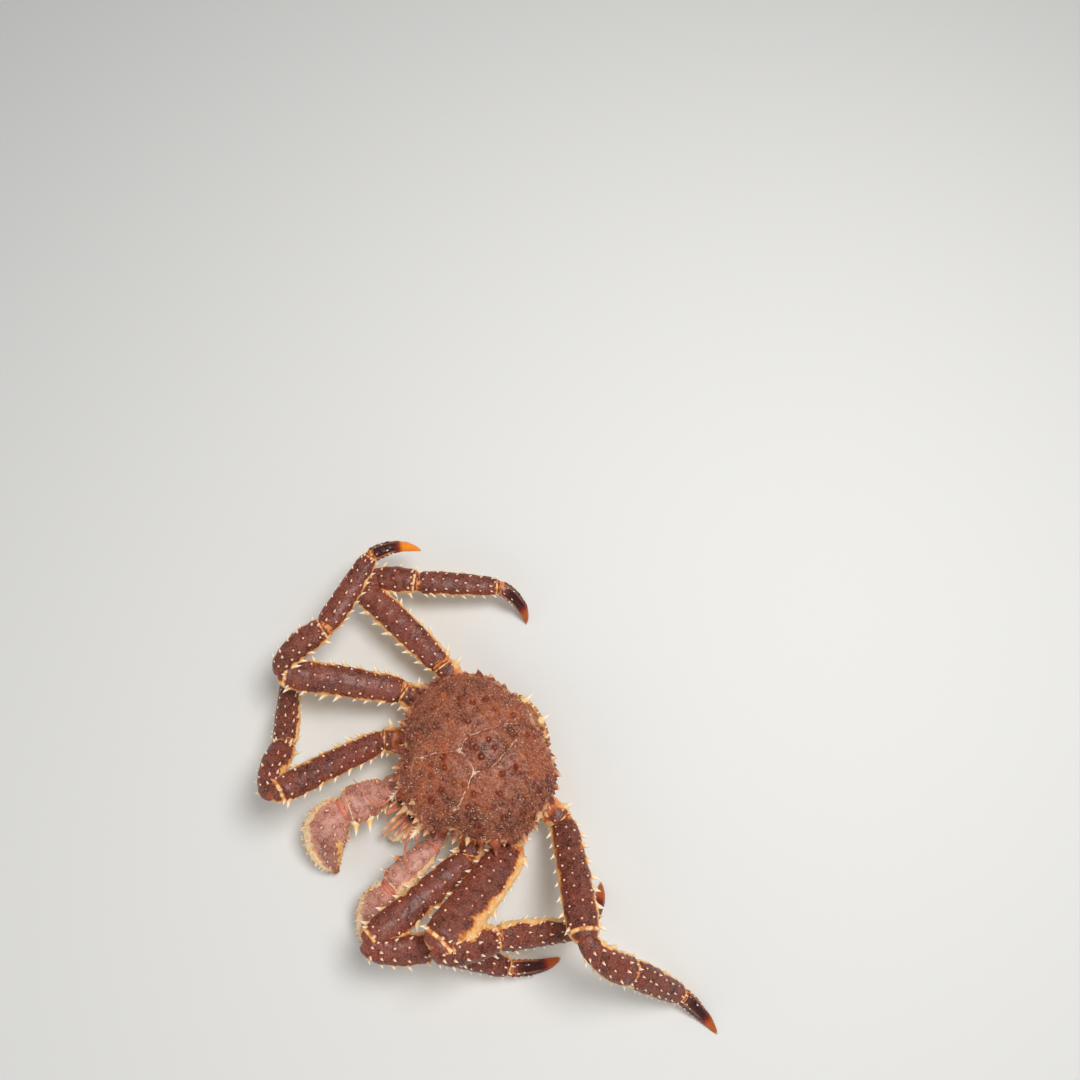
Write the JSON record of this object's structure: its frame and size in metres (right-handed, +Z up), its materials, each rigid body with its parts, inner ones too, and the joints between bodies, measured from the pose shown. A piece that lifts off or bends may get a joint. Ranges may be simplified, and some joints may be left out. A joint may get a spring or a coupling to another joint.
{
  "type": "red king crab model",
  "caption": "Life-size still model of a spiny king crab at rest: domed shell, six folded walking legs, two unequal claws, feelers and folded tail.",
  "frame": {"origin": "on the floor, at the middle of the flat underside of the folded tail, under the middle of the body", "axes": "-Y towards the head, +X towards the crab's left side, +Z up, the floor at Z = 0"},
  "size_m": [0.5662, 0.3177, 0.1162],
  "materials": {
    "shell": "satin shell, brownish red",
    "underside": "satin shell, cream and orange",
    "limb": "satin shell, maroon brown with cream edges and spines",
    "claw": "satin shell, mauve red with cream spines",
    "tip": "glossy horn, dark red to black",
    "eye": "glossy black",
    "feeler": "satin, pink to orange"
  },
  "bodies": {
    "root": {"shell": "shell", "thorax": "underside", "tail_flap": "underside", "tail_base": "shell", "right_leg_1_ischium": "limb", "right_leg_1_merus": "limb", "right_leg_1_carpus": "limb", "right_leg_1_propodus": "limb", "right_leg_1_dactyl": "tip", "right_leg_2_ischium": "limb", "right_leg_2_merus": "limb", "right_leg_2_carpus": "limb", "right_leg_2_propodus": "limb", "right_leg_2_dactyl": "tip", "right_leg_3_ischium": "limb", "right_leg_3_merus": "limb", "right_leg_3_carpus": "limb", "right_leg_3_propodus": "limb", "right_leg_3_dactyl": "tip", "left_leg_1_ischium": "limb", "left_leg_1_merus": "limb", "left_leg_1_carpus": "limb", "left_leg_1_propodus": "limb", "left_leg_1_dactyl": "tip", "left_leg_2_ischium": "limb", "left_leg_2_merus": "limb", "left_leg_2_carpus": "limb", "left_leg_2_propodus": "limb", "left_leg_2_dactyl": "tip", "left_leg_3_ischium": "limb", "left_leg_3_merus": "limb", "left_leg_3_carpus": "limb", "left_leg_3_propodus": "limb", "left_leg_3_dactyl": "tip", "right_claw_ischium": "claw", "right_claw_merus": "claw", "right_claw_carpus": "claw", "right_claw_hand": "claw", "right_claw_finger": "claw", "left_claw_ischium": "claw", "left_claw_merus": "claw", "left_claw_carpus": "claw", "left_claw_hand": "claw", "left_claw_finger": "claw", "right_eye_stalk": "underside", "right_eye": "eye", "right_feeler_base": "feeler", "right_feeler_whip": "feeler", "right_small_feeler": "feeler", "right_jaw_foot": "feeler", "left_eye_stalk": "underside", "left_eye": "eye", "left_feeler_base": "feeler", "left_feeler_whip": "feeler", "left_small_feeler": "feeler", "left_jaw_foot": "feeler"}
  },
  "joints": []
}
